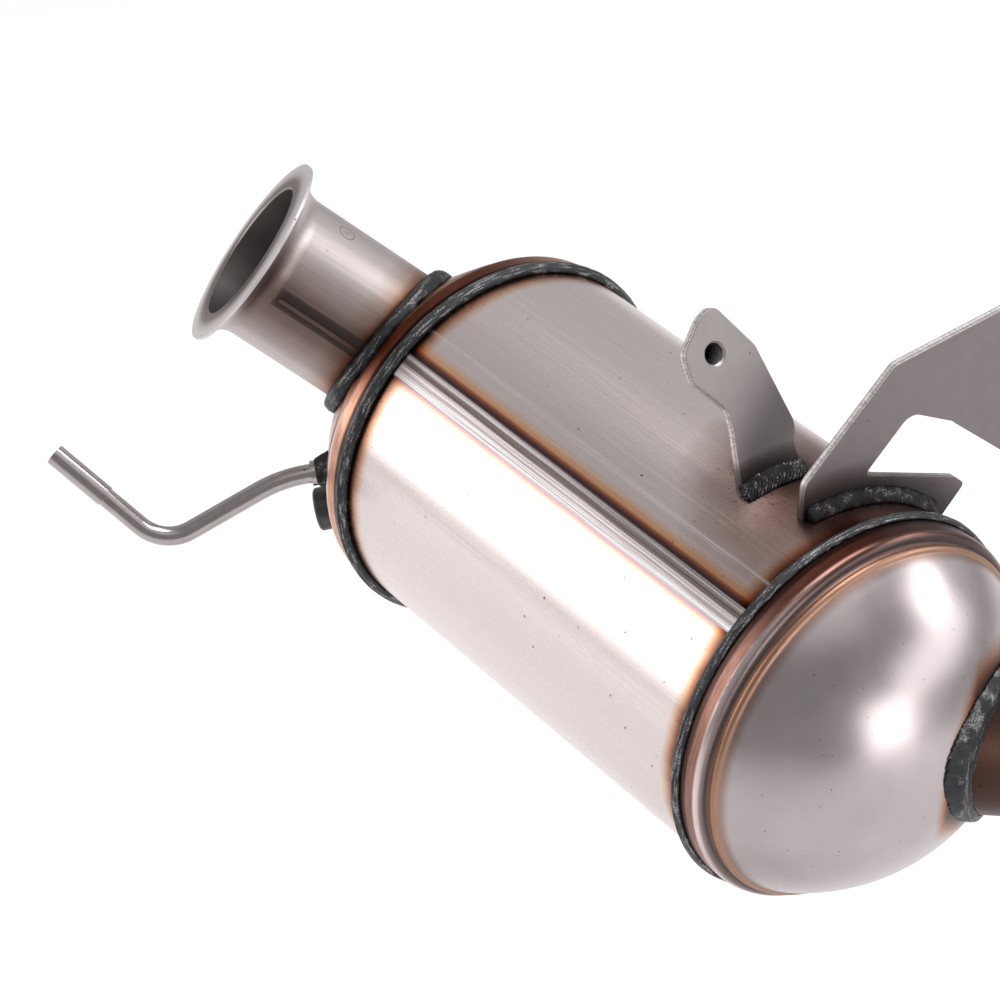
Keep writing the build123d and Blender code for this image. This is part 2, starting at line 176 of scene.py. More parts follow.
def make_studio():
    """Dim pale air, the soft boxes, and a pale floor below the part."""
    world = bpy.data.worlds.new("studio")
    bpy.context.scene.world = world
    world.use_nodes = True
    background = world.node_tree.nodes["Background"]
    background.inputs["Color"].default_value = studio_air
    background.inputs["Strength"].default_value = studio_air_strength
    for row in soft_boxes:
        make_soft_box(*row)
    floor_mesh = bpy.data.meshes.new("floor")
    form = bmesh.new()
    bmesh.ops.create_grid(form, x_segments=1, y_segments=1, size=floor_half_width)
    bmesh.ops.translate(form, verts=form.verts, vec=(0, 0, cad_box[0].z - floor_gap))
    form.to_mesh(floor_mesh)
    form.free()
    floor = bpy.data.objects.new("floor", floor_mesh)
    bpy.context.scene.collection.objects.link(floor)
    floor.data.materials.append(matt_white_floor())
    bpy.context.scene.view_settings.view_transform = "Standard"


# Finishes
def linear(colour):
    """An sRGB colour such as "8A8F94", or a grey from 0 to 1 that is linear already, as linear values."""
    if not isinstance(colour, str):
        return [colour] * 3 + [1.0]
    values = [int(colour[i:i + 2], 16) / 255 for i in (0, 2, 4)]
    return [v / 12.92 if v <= 0.04045 else ((v + 0.055) / 1.055) ** 2.4 for v in values] + [1.0]


def feed(tree, node, inputs):
    """Links a node's inputs, or sets them: text is an sRGB colour."""
    for name, value in inputs.items():
        if isinstance(value, bpy.types.NodeSocket):
            tree.links.new(value, node.inputs[name])
        else:
            node.inputs[name].default_value = linear(value) if isinstance(value, str) else value


def add(tree, kind, inputs, steps=(), **settings):
    """Adds a node with its settings, its inputs and a ramp's steps, and returns its first live output."""
    node = tree.nodes.new(kind)
    for name, value in settings.items():
        setattr(node, name, value)
    feed(tree, node, inputs)
    while steps and len(node.color_ramp.elements) < len(steps):
        node.color_ramp.elements.new(0.5)
    for number, (position, colour) in enumerate(steps):
        node.color_ramp.elements[number].position = position
        node.color_ramp.elements[number].color = linear(colour)
    return next(output for output in node.outputs if output.enabled)


def new_finish(name):
    """An empty material with its tree, shader and place in millimetres from the canister's middle."""
    material = bpy.data.materials.new(name)
    material.use_nodes = True
    tree = material.node_tree
    coordinates = add(tree, "ShaderNodeTexCoord", {}).node.outputs["Object"]
    place = add(tree, "ShaderNodeMapping", {
        "Vector": coordinates, "Location": -canister_middle / MM, "Scale": (1 / MM,) * 3})
    return material, tree, tree.nodes["Principled BSDF"], place


def matt_white_floor():
    """Matt white board: an even pale ground under the part, with no gloss."""
    material, tree, shader, place = new_finish("matt_white_floor")
    speck = add(tree, "ShaderNodeTexNoise", {"Vector": place, "Scale": 1 / 500, "Detail": 1.0})
    colour = add(tree, "ShaderNodeMix", {0: speck, 6: "F4F3F3", 7: "F8F7F7"}, data_type="RGBA")
    feed(tree, shader, {"Base Color": colour, "Roughness": 0.9})
    return material


# Colours that heat leaves on stainless steel beside a weld, from soot to bare metal, as shares of the
# bare metal's own colour. Positions are shares of the tinted width.
weld_tint = [(0.0, "54423C"), (0.14, "7A5A4C"), (0.34, "B98A6E"), (0.54, "E2BFA4"), (0.78, "F7E9DE"),
             (1.0, "FFFFFF")]
seam_tint_above = [(0.0, "46383C"), (0.14, "5F494B"), (0.24, "8A5E54"), (0.34, "C08A66"), (0.43, "F8C49A"),
                   (0.60, "FCD8B2"), (0.78, "FEF0E2"), (1.0, "FFFFFF")]
seam_tint_below = [(0.0, "B9A4AC"), (0.20, "D6B0B4"), (0.36, "E8C8B8"), (0.52, "F4E3C8"), (0.70, "FAF2DE"),
                   (1.0, "FFFFFF")]
pipe_tint = [(0.0, "543E36"), (0.12, "8A6350"), (0.26, "C6A28C"), (0.42, "E4CFC2"), (0.70, "F3EAE4"),
             (1.0, "FFFFFF")]
groove_tint = [(0.0, "94827A"), (0.30, "A3958F"), (0.55, "C6BCB8"), (0.80, "E8E4E2"), (1.0, "FFFFFF")]
smoke_tint = [(0.0, "7C6258"), (0.3, "96807A"), (0.62, "C6B6B0"), (1.0, "FFFFFF")]
soot_tint = [(0.0, "6A6565"), (0.3, "8E8888"), (0.65, "C6C0C0"), (1.0, "FFFFFF")]


def shaded(tree, colour, share, steps, where=1.0):
    """Colour times the shades of the steps, which follow a share from 0 to 1, as far as where says."""
    shade = add(tree, "ShaderNodeValToRGB", {0: share}, steps)
    return add(tree, "ShaderNodeMix", {0: where, 6: colour, 7: shade},
               data_type="RGBA", blend_type="MULTIPLY")


def tinted(tree, colour, gap, width, steps, place, wander):
    """Colour under a weld's heat tint, by the gap from its toe in millimetres; the tint's edge wanders."""
    drift = add(tree, "ShaderNodeTexNoise", {"Vector": place, "Scale": 1 / 12.5, "Detail": 2.0})
    gap = add(tree, "ShaderNodeMath", {0: drift, 1: 2 * wander, 2: gap}, operation="MULTIPLY_ADD")
    share = add(tree, "ShaderNodeMapRange", {0: gap, 1: wander, 2: wander + width})
    return shaded(tree, colour, share, steps)


def tinted_round(tree, colour, place, centre, core, width, steps, wander):
    """Colour under the tint round a point: deepest within its core, and gone a width beyond."""
    far = add(tree, "ShaderNodeVectorMath", {0: place, 1: centre}, operation="DISTANCE")
    gap = add(tree, "ShaderNodeMath", {0: far, 1: core}, operation="SUBTRACT")
    return tinted(tree, colour, gap, width, steps, place, wander)


def unrolled(tree, place):
    """How far along the canister a place is, and its turn round it in degrees."""
    along, side, height = add(tree, "ShaderNodeSeparateXYZ", {0: place}).node.outputs
    angle = add(tree, "ShaderNodeMath", {0: height, 1: side}, operation="ARCTAN2")
    return along, add(tree, "ShaderNodeMath", {0: angle}, operation="DEGREES")


def from_line(tree, place, line):
    """Distance from a straight line."""
    point, way = line
    offset = add(tree, "ShaderNodeVectorMath", {0: place, 1: point}, operation="SUBTRACT")
    crossed = add(tree, "ShaderNodeVectorMath", {0: offset, 1: way}, operation="CROSS_PRODUCT")
    return add(tree, "ShaderNodeVectorMath", {0: crossed}, operation="LENGTH")


def up_line(tree, place, line):
    """How far up a line a place is, from the line's point."""
    point, way = line
    offset = add(tree, "ShaderNodeVectorMath", {0: place, 1: point}, operation="SUBTRACT")
    return add(tree, "ShaderNodeVectorMath", {0: offset, 1: way}, operation="DOT_PRODUCT")


def drawn_out(tree, place, line, level, shortening):
    """A place for a grain that is drawn out along a line: its height up the line, the level, is shortened."""
    point, way = line
    offset = add(tree, "ShaderNodeVectorMath", {0: place, 1: point}, operation="SUBTRACT")
    upward = add(tree, "ShaderNodeVectorMath", {0: way, "Scale": level}, operation="SCALE")
    sideways = add(tree, "ShaderNodeVectorMath", {0: offset, 1: upward}, operation="SUBTRACT")
    slow = add(tree, "ShaderNodeVectorMath", {0: upward, "Scale": shortening}, operation="SCALE")
    return add(tree, "ShaderNodeVectorMath", {0: sideways, 1: slow}, operation="ADD")


def rolled_lines(tree, place, spacing, shortening):
    """Lines left by rolling: noise drawn out along the canister.

    Real ones are about 0.1 mm apart, too fine to show, so the spacing in millimetres is coarser.
    """
    squeezed = add(tree, "ShaderNodeVectorMath", {0: place, 1: (shortening, 1.0, 1.0)}, operation="MULTIPLY")
    return add(tree, "ShaderNodeTexNoise", {
        "Vector": squeezed, "Scale": 1 / spacing, "Detail": 3.0, "Roughness": 0.6})


def pitted(tree, colour, place, spacing):
    """Colour with patches of small dark pits, about a spacing apart and a tenth of that wide."""
    cells = add(tree, "ShaderNodeTexVoronoi", {"Vector": place, "Scale": 1 / spacing})
    patch = add(tree, "ShaderNodeTexNoise", {"Vector": place, "Scale": 1 / 33.3, "Detail": 1.0})
    where = add(tree, "ShaderNodeValToRGB", {0: patch}, [(0.42, 0.0), (0.58, 1.0)])
    return shaded(tree, colour, cells, [(0.0, 0.12), (0.045, 0.2), (0.072, 1.0)], where)


def rolled_stainless():
    """Cold-rolled stainless sheet of the canister: satin grey, lines along it, and burnt beside its welds."""
    material, tree, shader, place = new_finish("rolled_stainless_sheet")
    along, turn = unrolled(tree, place)
    grain = rolled_lines(tree, place, 0.9, 0.012)
    colour = add(tree, "ShaderNodeMix", {0: grain, 6: "D2C7C5", 7: "DDD2D0"}, data_type="RGBA")

    # Seam's burnt edges: wide above it, narrow below it
    off_seam = add(tree, "ShaderNodeMath", {0: turn, 1: seam_turn}, operation="SUBTRACT")
    arc = add(tree, "ShaderNodeMath", {0: off_seam, 1: radians(1) * canister_radius}, operation="MULTIPLY")
    beside = add(tree, "ShaderNodeMath", {0: arc}, operation="ABSOLUTE")
    gap = add(tree, "ShaderNodeMath", {0: beside, 1: seam_half_width}, operation="SUBTRACT")
    above = tinted(tree, colour, gap, 8.2, seam_tint_above, place, 0.25)
    below = tinted(tree, colour, gap, 4.0, seam_tint_below, place, 0.25)
    lower = add(tree, "ShaderNodeMath", {0: arc, 1: 0.0}, operation="GREATER_THAN")
    colour = add(tree, "ShaderNodeMix", {0: lower, 6: above, 7: below}, data_type="RGBA")

    # Rims' burnt edges
    for toe, side in ((inlet_weld_toe, 1), (outlet_weld_toe, -1)):
        gap = add(tree, "ShaderNodeMath", {0: along, 1: side, 2: -side * toe}, operation="MULTIPLY_ADD")
        colour = tinted(tree, colour, gap, 8.5, weld_tint, place, 1.3)

    # Smoke round the feet of the tab and the bracket
    tab_foot = Vector((tab_front, 6, canister_radius))
    bracket_foot = Vector((bracket_front, 26, canister_radius * 0.92))
    colour = tinted_round(tree, colour, place, tab_foot, 5.0, 15.0, smoke_tint, 4.0)
    colour = tinted_round(tree, colour, place, bracket_foot, 26.0, 48.0, smoke_tint, 4.0)

    # Band of bright rolled lines above the seam, a degree to each side
    off_band = add(tree, "ShaderNodeMath", {0: turn, 1: rolled_band_turn}, operation="SUBTRACT")
    off_band = add(tree, "ShaderNodeMath", {0: off_band}, operation="ABSOLUTE")
    inside = add(tree, "ShaderNodeValToRGB", {0: off_band}, [(0.0, 0.75), (0.9, 0.65), (1.0, 0.0)])
    inside.node.color_ramp.interpolation = "EASE"
    lines = rolled_lines(tree, place, 0.42, 0.004)
    lines = add(tree, "ShaderNodeValToRGB", {0: lines}, [(0.48, 0.0), (0.60, 1.0)])
    bright = add(tree, "ShaderNodeMath", {0: inside, 1: lines}, operation="MULTIPLY")
    colour = add(tree, "ShaderNodeMix", {0: bright, 6: colour, 7: "FFF8F8"}, data_type="RGBA")

    gloss = add(tree, "ShaderNodeValToRGB", {0: grain}, [(0.3, 0.25), (0.7, 0.29)])
    relief = add(tree, "ShaderNodeMath", {0: grain, 1: bright}, operation="ADD")
    bump = add(tree, "ShaderNodeBump", {"Height": relief, "Strength": 0.06, "Distance": 0.03 * MM})
    feed(tree, shader, {"Base Color": pitted(tree, colour, place, 9.0), "Metallic": 1.0, "Roughness": gloss,
                        "Normal": bump})
    return material


def pressed_stainless(name, side, edge, pipe_line, neck_width, skirt, skirt_matt, smoke_centre, smoke_core):
    """Deep-drawn stainless cap: smooth and cloudy, copper on its bead and burnt at its welds.

    The side is 1 where the cap's top points along +X and else -1, and edge is where its skirt ends. Its
    skirt, in its own colour and roughness, is scratched and smoked.
    """
    material, tree, shader, place = new_finish(name)
    cloud = add(tree, "ShaderNodeTexNoise", {
        "Vector": place, "Scale": 1 / 20, "Detail": 4.0, "Roughness": 0.55})
    colour = add(tree, "ShaderNodeMix", {0: cloud, 6: "D0C5C6", 7: "ECE1E3"}, data_type="RGBA")

    # Along the skirt, shoulder, groove and bead, from 4 to 24 mm beyond the skirt's edge
    along = add(tree, "ShaderNodeSeparateXYZ", {0: place})
    share = add(tree, "ShaderNodeMapRange", {0: along, 1: edge + side * 4.0, 2: edge + side * 24.0})
    # Painted highlight: the shoulder's near white; painted shade: the dark grey in the groove
    colour = shaded(tree, colour, share, [
        (0.0, "6A564E"), (0.05, skirt), (0.22, skirt), (0.27, "FFFAF8"), (0.33, "F4ECE8"), (0.36, "ACA4A0"),
        (0.40, "686260"), (0.44, "826F66"), (0.48, "BA9378"), (0.60, "BC9C83"), (0.68, "B1A39A"),
        (0.80, "CDCDCD")])

    # Scratches round the skirt, left by the turning of the cap under the welding torch, drawn 0.35 mm apart
    # because real ones are too fine to show
    wound = add(tree, "ShaderNodeVectorMath", {0: place, 1: (1.0, 0.035, 0.035)}, operation="MULTIPLY")
    scratch = add(tree, "ShaderNodeTexNoise", {
        "Vector": wound, "Scale": 1 / 0.35, "Detail": 3.0, "Roughness": 0.7})
    on_skirt = add(tree, "ShaderNodeValToRGB", {0: share}, [
        (0.22, 1.0), (0.28, 0.15), (0.60, 0.15), (0.75, 0.0)])
    colour = shaded(tree, colour, scratch, [(0.36, "C4BAB6"), (0.50, "E4DEDC"), (0.64, "FFFFFF")], on_skirt)

    # Smoke over the top of the skirt
    smoked = tinted_round(tree, colour, place, smoke_centre, smoke_core, 45.0, smoke_tint, 3.0)
    at_skirt = add(tree, "ShaderNodeValToRGB", {0: share}, [(0.34, 1.0), (0.44, 0.0)])
    colour = add(tree, "ShaderNodeMix", {0: at_skirt, 6: colour, 7: smoked}, data_type="RGBA")

    # Burnt round the pipe's neck, less far where the dome falls away behind the pipe's foot
    level = up_line(tree, place, pipe_line)
    behind = add(tree, "ShaderNodeMapRange", {0: level, 1: -110.0, 2: -46.0, 3: 50.0, 4: 0.0})
    out = add(tree, "ShaderNodeMath", {0: from_line(tree, place, pipe_line), 1: behind}, operation="ADD")
    gap = add(tree, "ShaderNodeMath", {0: out, 1: pipe_radius + neck_width}, operation="SUBTRACT")
    colour = tinted(tree, colour, gap, 8.0, weld_tint, place, 0.8)

    matt = add(tree, "ShaderNodeValToRGB", {0: share}, [
        (0.22, skirt_matt), (0.27, 0.19), (0.34, 0.21), (0.40, 0.37), (0.60, 0.35), (0.72, 0.25)])
    gloss = add(tree, "ShaderNodeMath", {0: cloud, 1: 0.1, 2: matt}, operation="MULTIPLY_ADD")
    grit = add(tree, "ShaderNodeTexNoise", {"Vector": place, "Scale": 1 / 0.714, "Detail": 3.0})
    relief = add(tree, "ShaderNodeMath", {0: scratch, 1: on_skirt, 2: grit}, operation="MULTIPLY_ADD")
    pressed_round = add(tree, "ShaderNodeBevel", {"Radius": 1.2 * MM}, samples=6)
    bump = add(tree, "ShaderNodeBump", {
        "Height": relief, "Strength": 0.12, "Distance": 0.04 * MM, "Normal": pressed_round})
    feed(tree, shader, {"Base Color": pitted(tree, colour, place, 5.0), "Metallic": 1.0, "Roughness": gloss,
                        "Normal": bump})
    return material


def drawn_tube_stainless(name, line, length, dome_middle, tint, tint_width, dark, light, groove=None):
    """Drawn stainless pipe: lines along it, burnt towards the weld at its foot, darker in its bore and at the
    bottom of its groove.

    The lines are drawn 1 mm apart, because those that drawing leaves are too fine to show.
    """
    material, tree, shader, place = new_finish(name)
    level = up_line(tree, place, line)
    lengthwise = drawn_out(tree, place, line, level, 0.03)
    grain = add(tree, "ShaderNodeTexNoise", {
        "Vector": lengthwise, "Scale": 1 / 1.0, "Detail": 3.0, "Roughness": 0.6})
    colour = add(tree, "ShaderNodeMix", {0: grain, 6: dark, 7: light}, data_type="RGBA")
    colour = tinted_round(tree, colour, place, dome_middle, dome_radius + 3.0, tint_width, tint, 2.0)
    if groove is not None:
        gap = from_line(tree, place, (groove, line[1]))
        colour = tinted(tree, colour, gap, 24.0, groove_tint, place, 1.0)

    # Flange's face: painted reflections that darken it towards the bore, and a painted highlight on its rim
    out = from_line(tree, place, line)
    share = add(tree, "ShaderNodeMapRange", {0: out, 1: 30.0, 2: 42.0})
    at_face = add(tree, "ShaderNodeMapRange", {0: level, 1: length / 2 - 2.6, 2: length / 2 - 1.4})
    colour = shaded(tree, colour, share, [
        (0.0, "B4ACAA"), (0.08, "8E8684"), (0.30, "A8A09E"), (0.60, "F0ECEB"), (0.75, "FFFFFF")], at_face)
    painted_rim_highlight = add(tree, "ShaderNodeMapRange", {0: out, 1: 34.0, 2: 40.0})
    colour = add(tree, "ShaderNodeMix", {0: painted_rim_highlight, 6: colour, 7: "D6D0D0"}, data_type="RGBA")

    # Near black at the bottom of the seam's groove, and a darker grey inside the bore
    sunk = add(tree, "ShaderNodeMapRange", {0: out, 1: pipe_radius - 0.1, 2: pipe_radius - 0.95})
    below_flare = add(tree, "ShaderNodeMapRange", {0: level, 1: length / 2 - 10.0, 2: length / 2 - 15.0})
    groove_bottom_dark = add(tree, "ShaderNodeMath", {0: sunk, 1: below_flare}, operation="MULTIPLY")
    colour = add(tree, "ShaderNodeMix", {0: groove_bottom_dark, 6: colour, 7: "423A37"}, data_type="RGBA")
    inside = add(tree, "ShaderNodeMapRange", {0: out, 1: pipe_radius - 1.5, 2: pipe_radius - 1.9})
    colour = add(tree, "ShaderNodeMix", {0: inside, 6: colour, 7: "8E8A88"}, data_type="RGBA")

    # Small round stamp, a plain ring pressed into the wall
    from_stamp = add(tree, "ShaderNodeVectorMath", {0: place, 1: stamp_place}, operation="DISTANCE")
    share = add(tree, "ShaderNodeMapRange", {0: from_stamp, 2: 5.0})
    ring = add(tree, "ShaderNodeValToRGB", {0: share}, [
        (0.0, "D2CCCC"), (0.22, "FFFFFF"), (0.62, "FFFFFF"), (0.68, "A09A9A"), (0.76, "FFFFFF")])
    colour = add(tree, "ShaderNodeMix", {0: 1.0, 6: colour, 7: ring}, data_type="RGBA", blend_type="MULTIPLY")

    gloss = add(tree, "ShaderNodeValToRGB", {0: grain}, [(0.3, 0.38), (0.7, 0.46)])
    relief = add(tree, "ShaderNodeMath", {0: ring, 1: 2.0, 2: grain}, operation="MULTIPLY_ADD")
    bump = add(tree, "ShaderNodeBump", {"Height": relief, "Strength": 0.3, "Distance": 0.04 * MM})
    feed(tree, shader, {"Base Color": pitted(tree, colour, place, 8.0), "Metallic": 1.0, "Roughness": gloss,
                        "Normal": bump})
    return material


def weld_metal(name, dark, light, lit, across=None):
    """Weld metal under its dark oxide: near black, with painted glints: bright grains on its crests.

    A function given as across tells how far a place is across the bead, and then the crests are lanes along
    it. The grains are drawn 0.45 mm wide, because real ones are too fine to show.
    """
    material, tree, shader, place = new_finish(name)
    clumps = add(tree, "ShaderNodeTexNoise", {
        "Vector": place, "Scale": 1 / 4, "Detail": 3.0, "Roughness": 0.6})
    colour = add(tree, "ShaderNodeMix", {0: clumps, 6: dark, 7: light}, data_type="RGBA")
    grains = add(tree, "ShaderNodeTexNoise", {
        "Vector": place, "Scale": 1 / 0.4545, "Detail": 3.0, "Roughness": 0.7})
    if across:
        slow = add(tree, "ShaderNodeVectorMath", {0: place, 1: (0.07,) * 3}, operation="MULTIPLY")
        crossways = add(tree, "ShaderNodeCombineXYZ", {0: across(tree, place)})
        wound = add(tree, "ShaderNodeVectorMath", {0: slow, 1: crossways}, operation="ADD")
        lanes = add(tree, "ShaderNodeTexNoise", {"Vector": wound, "Scale": 1 / 0.6, "Detail": 3.0})
        glinting_crests = add(tree, "ShaderNodeValToRGB", {0: lanes}, [(0.52, 0.0), (0.60, 1.0)])
        speck = add(tree, "ShaderNodeValToRGB", {0: grains}, [(0.46, 0.0), (0.62, 1.0)])
        relief = add(tree, "ShaderNodeMath", {0: lanes, 1: 2.4, 2: grains}, operation="MULTIPLY_ADD")
    else:
        glinting_crests = add(tree, "ShaderNodeValToRGB", {0: clumps}, [(0.50, 0.0), (0.62, 1.0)])
        speck = add(tree, "ShaderNodeValToRGB", {0: grains}, [(0.55, 0.0), (0.62, 1.0)])
        relief = grains
    # Painted glints: bright grains in the lit colour on the crests stand in for highlights
    bright = add(tree, "ShaderNodeMath", {0: glinting_crests, 1: speck}, operation="MULTIPLY")
    colour = add(tree, "ShaderNodeMix", {0: bright, 6: colour, 7: lit}, data_type="RGBA")
    gloss = add(tree, "ShaderNodeValToRGB", {0: bright}, [(0.0, 0.44), (1.0, 0.28)])
    bump = add(tree, "ShaderNodeBump", {"Height": relief, "Strength": 0.8, "Distance": 0.22 * MM})
    feed(tree, shader, {"Base Color": colour, "Metallic": 1.0, "Roughness": gloss, "Normal": bump})
    return material


def planished_seam():
    """Seam that was welded and rolled: two dull grooves between bright lanes, with fine lines along them."""
    material, tree, shader, place = new_finish("planished_seam_weld")
    along, turn = unrolled(tree, place)
    off_seam = add(tree, "ShaderNodeMath", {0: turn, 1: seam_turn}, operation="SUBTRACT")

    # Lines along the seam, half a degree apart round the canister
    lanes = add(tree, "ShaderNodeCombineXYZ", {0: along, 1: off_seam})
    lines = rolled_lines(tree, lanes, 0.5, 0.004)

    # Lanes across the seam, in degrees round the canister, that drift a little along it
    half_turn = 3.9
    drift_turn = 0.5
    drift = add(tree, "ShaderNodeTexNoise", {"Vector": place, "Scale": 1 / 33.3, "Detail": 1.0})
    shift = add(tree, "ShaderNodeMath", {0: drift, 1: drift_turn, 2: off_seam}, operation="MULTIPLY_ADD")
    share = add(tree, "ShaderNodeMapRange", {
        0: shift, 1: drift_turn / 2 - half_turn, 2: drift_turn / 2 + half_turn})
    rolled = add(tree, "ShaderNodeValToRGB", {0: share}, [
        (0.0, "756C70"), (0.06, "A8A2A1"), (0.17, "BEB8B6"), (0.24, "706763"), (0.40, "7C7270"),
        (0.46, "B6ADAB"), (0.60, "C8C2C2"), (0.66, "9C9393"), (0.74, "BEBABA"), (0.88, "C6C4C4"),
        (1.0, "ABA5A6")])
    colour = shaded(tree, rolled, lines, [(0.38, "B8B2B0"), (0.50, "EAE8E8"), (0.60, "FFFFFF")])
    bump = add(tree, "ShaderNodeBump", {"Height": lines, "Strength": 0.4, "Distance": 0.1 * MM})
    feed(tree, shader, {"Base Color": colour, "Metallic": 1.0, "Roughness": 0.26, "Normal": bump})
    return material


def blanked_plate(name, line, thickness, soot_width, dark, light):
    """Laser-cut stainless plate dulled by a thin oxide: an even grey, sooty at its foot, with bright edges.

    The line runs through the plate's thickness from its middle, and the edges are ridged across.
    """
    material, tree, shader, place = new_finish(name)
    cloud = add(tree, "ShaderNodeTexNoise", {
        "Vector": place, "Scale": 1 / 8.33, "Detail": 5.0, "Roughness": 0.6})
    colour = add(tree, "ShaderNodeMix", {0: cloud, 6: dark, 7: light}, data_type="RGBA")

    # Cut edges, between the plate's two faces
    half = thickness / 2
    level = up_line(tree, place, line)
    depth = add(tree, "ShaderNodeMath", {0: level}, operation="ABSOLUTE")
    cut = add(tree, "ShaderNodeMapRange", {0: depth, 1: half - 0.25, 2: half - 0.6})
    share = add(tree, "ShaderNodeMapRange", {0: level, 1: -half, 2: half})
    edge = add(tree, "ShaderNodeValToRGB", {0: share}, [
        (0.10, "B8B2B2"), (0.36, "E8E3E3"), (0.52, "C2BBBB"), (0.74, "989191"), (0.86, "ECE7E7"),
        (0.94, "FAF6F6")])
    ridged = drawn_out(tree, place, line, level, 0.15)
    ridges = add(tree, "ShaderNodeTexNoise", {"Vector": ridged, "Scale": 1 / 0.4, "Detail": 3.0})
    edge = shaded(tree, edge, ridges, [(0.38, "C4C0C0"), (0.60, "FFFFFF")])
    colour = add(tree, "ShaderNodeMix", {0: cut, 6: colour, 7: edge}, data_type="RGBA")

    out = from_line(tree, place, canister_line)
    gap = add(tree, "ShaderNodeMath", {0: out, 1: canister_radius + 4.0}, operation="SUBTRACT")
    colour = tinted(tree, colour, gap, soot_width, soot_tint, place, 2.0)
    grit = add(tree, "ShaderNodeTexNoise", {"Vector": place, "Scale": 1 / 0.909, "Detail": 4.0})
    relief = add(tree, "ShaderNodeMath", {0: ridges, 1: cut, 2: grit}, operation="MULTIPLY_ADD")
    bump = add(tree, "ShaderNodeBump", {"Height": relief, "Strength": 0.25, "Distance": 0.08 * MM})
    feed(tree, shader, {"Base Color": pitted(tree, colour, place, 7.0), "Metallic": 0.6, "Roughness": 0.45,
                        "Normal": bump})
    return material


def polished_tube():
    """Polished stainless pressure tube: clean, mirror-like, with faint bending marks."""
    material, tree, shader, place = new_finish("polished_stainless_tube")
    cloud = add(tree, "ShaderNodeTexNoise", {"Vector": place, "Scale": 1 / 5, "Detail": 4.0})
    colour = add(tree, "ShaderNodeMix", {0: cloud, 6: "A39B9B", 7: "BDB5B5"}, data_type="RGBA")
    marks = add(tree, "ShaderNodeTexNoise", {"Vector": place, "Scale": 1 / 1.111, "Detail": 3.0})
    bump = add(tree, "ShaderNodeBump", {"Height": marks, "Strength": 0.2, "Distance": 0.05 * MM})
    feed(tree, shader, {"Base Color": pitted(tree, colour, place, 6.0), "Metallic": 1.0, "Roughness": 0.2,
                        "Normal": bump})
    return material


def blackened_steel():
    """Turned steel, blackened by the heat of its weld: near black and dull, with cloudy oxide."""
    material, tree, shader, place = new_finish("heat_blackened_steel")
    cloud = add(tree, "ShaderNodeTexNoise", {"Vector": place, "Scale": 1 / 2.5, "Detail": 4.0})
    colour = add(tree, "ShaderNodeMix", {0: cloud, 6: "403F40", 7: "626060"}, data_type="RGBA")
    bump = add(tree, "ShaderNodeBump", {"Height": cloud, "Strength": 0.3, "Distance": 0.1 * MM})
    feed(tree, shader, {"Base Color": colour, "Metallic": 1.0, "Roughness": 0.42, "Normal": bump})
    return material


def cut_thread(line):
    """Tapped steel, with painted highlights on its crests and painted shade in its roots, one pitch apart
    along the hole.
    """
    material, tree, shader, place = new_finish("cut_thread_steel")
    level = up_line(tree, place, line)
    turn = add(tree, "ShaderNodeMath", {0: level, 1: thread_pitch / 2}, operation="PINGPONG")
    share = add(tree, "ShaderNodeMath", {0: turn, 1: thread_pitch / 2}, operation="DIVIDE")
    # Painted shade in the thread's roots and painted highlights on its crests
    colour = add(tree, "ShaderNodeValToRGB", {0: share}, [(0.30, "3C3939"), (0.70, "F0ECEC")])
    feed(tree, shader, {"Base Color": colour, "Metallic": 1.0, "Roughness": 0.35})
    return material


def brick_ceramic():
    """Silicon carbide brick: matt grey-brown, with the square channels of its honeycomb.

    The real channels are about 1.5 mm apart, and every second one is plugged, which gives a chequered face.
    """
    material, tree, shader, place = new_finish("silicon_carbide_honeycomb")
    side, height = add(tree, "ShaderNodeSeparateXYZ", {0: place}).node.outputs[1:]
    flat = add(tree, "ShaderNodeCombineXYZ", {0: side, 1: height})
    channels = add(tree, "ShaderNodeTexChecker", {
        "Vector": flat, "Scale": 1 / 1.5, "Color1": "8C8478", "Color2": "2E2B28"})
    walls = channels.node.outputs["Fac"]
    bump = add(tree, "ShaderNodeBump", {"Height": walls, "Strength": 0.6, "Distance": 0.5 * MM})
    feed(tree, shader, {"Base Color": channels, "Roughness": 0.85, "Normal": bump})
    return material


def mat_fibre():
    """Alumina fibre mat: off-white felt, matt and woolly, its tufts drawn coarser than its fine fibres."""
    material, tree, shader, place = new_finish("alumina_fibre_mat")
    felt = add(tree, "ShaderNodeTexNoise", {
        "Vector": place, "Scale": 1 / 1.25, "Detail": 6.0, "Roughness": 0.8})
    colour = add(tree, "ShaderNodeMix", {0: felt, 6: "C9C4B8", 7: "E6E2D8"}, data_type="RGBA")
    bump = add(tree, "ShaderNodeBump", {"Height": felt, "Strength": 0.6, "Distance": 0.4 * MM})
    feed(tree, shader, {"Base Color": colour, "Roughness": 0.95, "Normal": bump})
    return material


def knitted_wire():
    """Knitted wire ring: small bright loops of stainless wire, about 1.2 mm apart."""
    material, tree, shader, place = new_finish("knitted_stainless_wire")
    loops = add(tree, "ShaderNodeTexVoronoi", {"Vector": place, "Scale": 1 / 1.2}, feature="DISTANCE_TO_EDGE")
    colour = add(tree, "ShaderNodeValToRGB", {0: loops}, [(0.02, "B5AFAD"), (0.16, "3A3837")])
    bump = add(tree, "ShaderNodeBump", {"Height": loops, "Strength": 0.7, "Distance": 0.4 * MM})
    feed(tree, shader, {"Base Color": colour, "Metallic": 1.0, "Roughness": 0.35, "Normal": bump})
    return material


def dress(node, material):
    """Gives a CAD node its finish."""
    nodes[node].data.materials.clear()
    nodes[node].data.materials.append(material)


